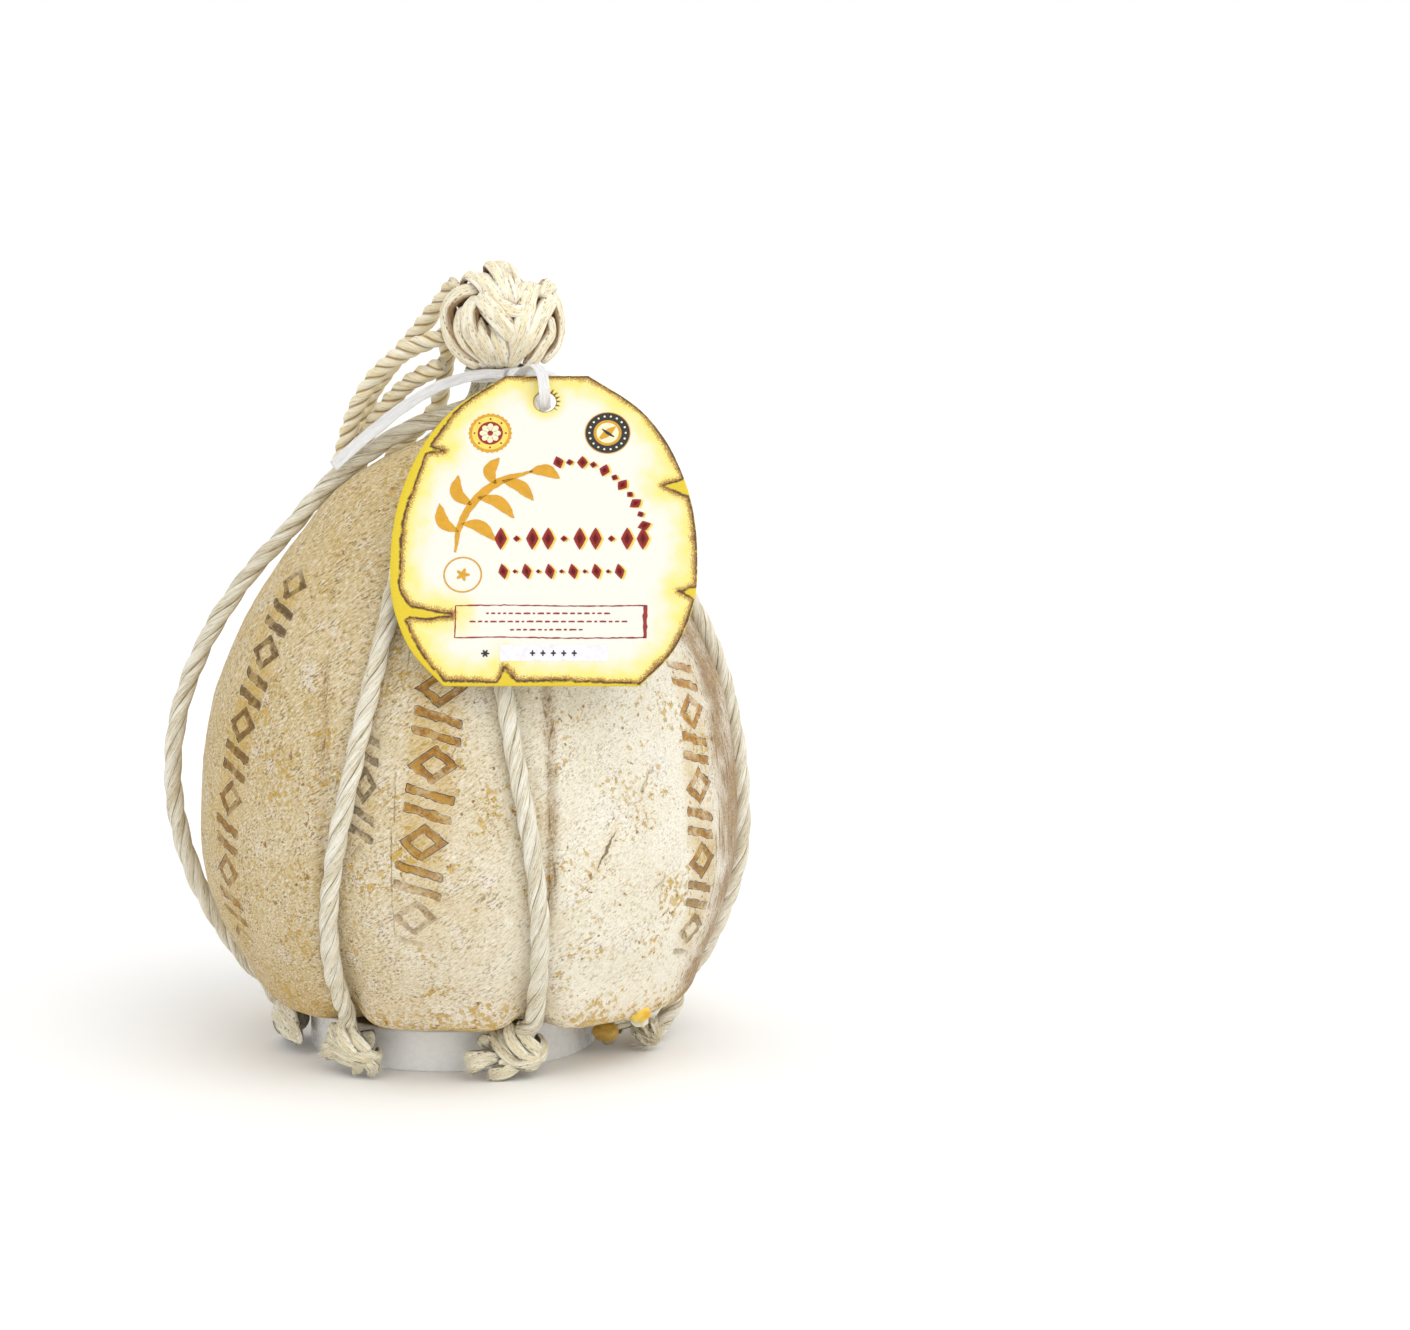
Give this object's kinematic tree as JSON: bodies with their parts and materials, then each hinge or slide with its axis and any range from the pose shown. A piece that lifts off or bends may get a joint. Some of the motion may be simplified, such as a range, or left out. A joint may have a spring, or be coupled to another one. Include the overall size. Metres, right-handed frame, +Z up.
{
  "type": "whole provolone cheese in a rope hanging harness",
  "caption": "Whole pear-shaped provolone cheese in a twisted rope harness with a big top knot, hanging loops, a base ring and a tied label card.",
  "frame": {"origin": "on the floor under the middle of the object's box, the loose cords left out; the base ring's axis is 2.9 mm to its left and the cheese's axis 3.3 mm to its right", "axes": "+Z up along the cheese's axis, -Y towards the front where the card hangs, +X to the right of someone who faces the front"},
  "size_m": [0.1952, 0.1789, 0.2591],
  "materials": {
    "rind": "dry natural cheese rind: cream to sand, ochre specks and yellow blotches, matt",
    "rope": "twisted three-strand raffia rope, pale straw, matt",
    "ring": "moulded off-white plastic, semi-gloss",
    "card": "printed card: cream face, yellow scorched border, satin",
    "string": "flat white plastic raffia ribbon, soft sheen"
  },
  "bodies": {
    "root": {"cheese": "rind", "ring": "ring", "harness_rope_1": "rope", "harness_rope_2": "rope", "harness_rope_3": "rope", "harness_rope_4": "rope", "harness_rope_5": "rope", "harness_rope_6": "rope", "ring_knot_1": "rope", "ring_knot_2": "rope", "ring_knot_3": "rope", "ring_knot_4": "rope", "ring_knot_5": "rope", "ring_knot_6": "rope", "top_knot": "rope", "hanging_loop_1": "rope", "hanging_loop_2": "rope", "tag": "card", "tag_string": "string", "string_tail": "string"}
  },
  "joints": []
}
